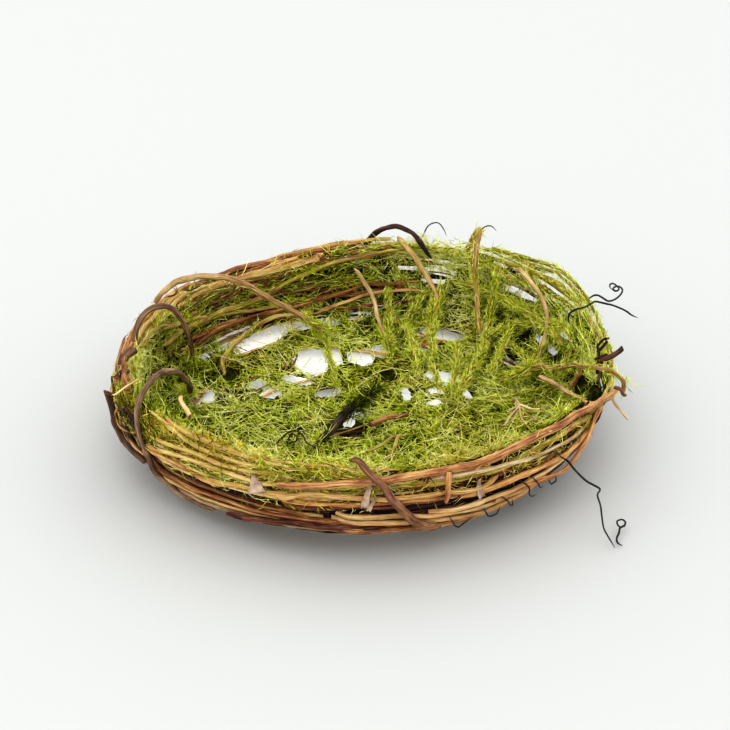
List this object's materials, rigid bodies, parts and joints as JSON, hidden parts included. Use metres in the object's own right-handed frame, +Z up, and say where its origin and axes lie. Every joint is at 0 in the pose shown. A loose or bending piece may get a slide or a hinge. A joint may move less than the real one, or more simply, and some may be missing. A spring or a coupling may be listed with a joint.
{
  "type": "empty bird nest, wound of vine and moss",
  "caption": "Shallow empty nest of thin vine coiled by hand, lined with bright green moss, with loops, spokes and curly tendrils; stands on its base coil.",
  "frame": {"origin": "middle of the nest's outline, on the surface that it stands on", "axes": "+Z up, +X to the right and +Y to the back as the picture shows the nest; the tendrils are at +X"},
  "size_m": [0.1504, 0.1466, 0.0378],
  "materials": {
    "vine_bark": "matte",
    "vine_dark": "matte",
    "vine_grey": "matte",
    "vine_mossy": "matte",
    "tendril_brown": "matte",
    "bark_flake": "matte",
    "moss_green": "matte"
  },
  "bodies": {
    "root": {"bark_flake_1": "bark_flake", "bark_flake_2": "bark_flake", "base_vine_1": "vine_bark", "base_vine_2": "vine_bark", "base_vine_3": "vine_bark", "base_vine_4": "vine_bark", "coil_vine_01": "vine_bark", "coil_vine_02": "vine_bark", "coil_vine_03": "vine_bark", "coil_vine_04": "vine_dark", "coil_vine_05": "vine_bark", "coil_vine_06": "vine_bark", "coil_vine_07": "vine_bark", "coil_vine_08": "vine_dark", "coil_vine_09": "vine_bark", "coil_vine_10": "vine_bark", "coil_vine_11": "vine_bark", "coil_vine_12": "vine_dark", "coil_vine_13": "vine_bark", "coil_vine_14": "vine_bark", "coil_vine_15": "vine_bark", "coil_vine_16": "vine_dark", "floor_twig_dark": "vine_dark", "floor_twig_red": "vine_bark", "inner_vine_1": "vine_bark", "inner_vine_2": "vine_bark", "inner_vine_3": "vine_bark", "inner_vine_4": "vine_mossy", "loop_vine_dark": "vine_dark", "loop_vine_grey": "vine_grey", "loop_vine_purple": "vine_dark", "loop_vine_tan": "vine_bark", "moss_lining": "moss_green", "rim_arch": "vine_mossy", "rim_vine_1": "vine_bark", "rim_vine_2": "vine_bark", "rim_vine_3": "vine_bark", "rim_vine_4": "vine_bark", "spoke_1": "vine_bark", "spoke_2": "vine_bark", "spoke_3": "vine_bark", "spoke_4": "vine_bark", "spoke_5": "vine_mossy", "spoke_6": "vine_mossy", "stub_left": "vine_dark", "stub_right": "vine_dark", "tendril_curl": "tendril_brown", "tendril_lower": "tendril_brown", "tendril_ring": "tendril_brown", "tendril_upper": "tendril_brown", "wrap_vine_back": "vine_dark", "wrap_vine_front": "vine_grey", "wrap_vine_long": "vine_bark", "wrap_vine_low": "vine_bark"}
  },
  "joints": []
}
